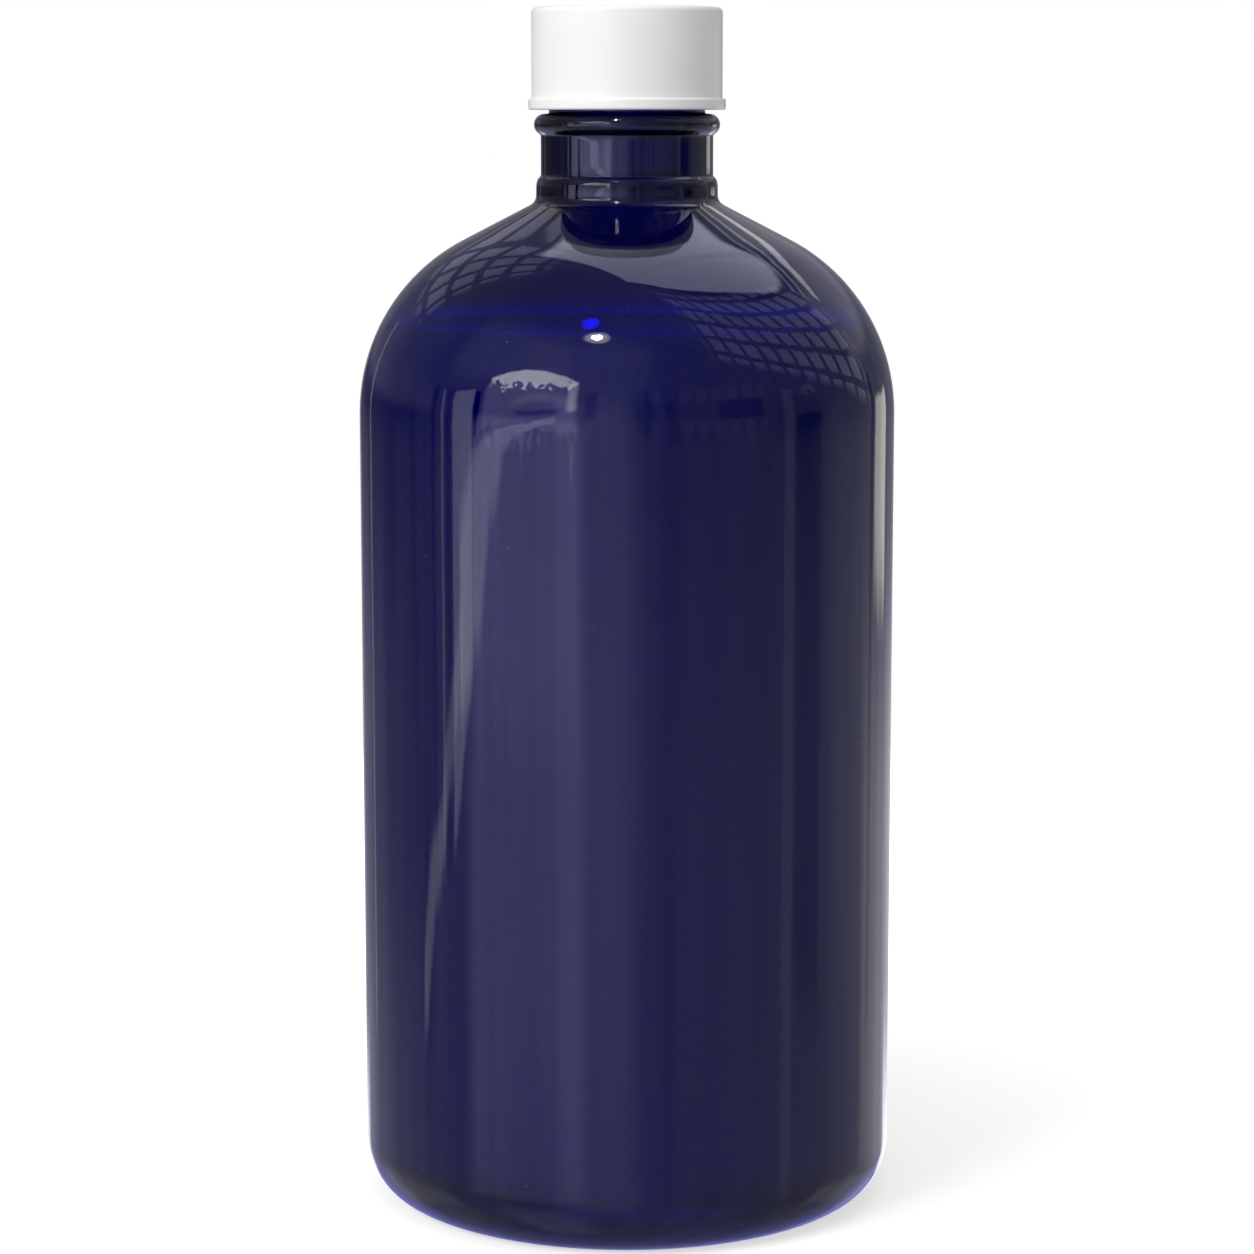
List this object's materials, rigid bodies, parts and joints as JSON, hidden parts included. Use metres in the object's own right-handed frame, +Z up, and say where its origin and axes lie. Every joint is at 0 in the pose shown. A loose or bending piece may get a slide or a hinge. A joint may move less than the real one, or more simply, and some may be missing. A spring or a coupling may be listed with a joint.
{
  "type": "glass bottle",
  "caption": "Round blown glass bottle with a rounded shoulder and short neck, partly see-through, filled with liquid and closed by a plain screw cap.",
  "frame": {"origin": "centre of the ring that the bottle stands on, at the height of the ground", "axes": "+Z up along the bottle's axis, towards the mouth; +X to the right and -Y towards the viewer"},
  "size_m": [0.095, 0.095, 0.2125],
  "materials": {
    "blue_glass": "smooth deep blue glass",
    "liquid": "dark still liquid",
    "white_plastic": "smooth satin white moulding",
    "sealing_foam": "soft matt foam"
  },
  "bodies": {
    "bottle": {"glass_bottle": "blue_glass", "contents": "liquid"},
    "liner": {"liner": "sealing_foam"},
    "cap": {"cap": "white_plastic"}
  },
  "joints": [
    {"name": "cap_rise", "type": "slide", "parent": "bottle", "child": "liner", "axis": [0, 0, 1], "range_m": [0, 0.01694]},
    {"name": "cap_turn", "type": "hinge", "parent": "liner", "child": "cap", "pos_m": [0, 0, 0.2], "axis": [0, 0, 1], "range_deg": [0, 1440]}
  ],
  "couplings": [
    {"joint": "cap_rise", "follows": "cap_turn", "m_per_rad": 0.0006737}
  ]
}
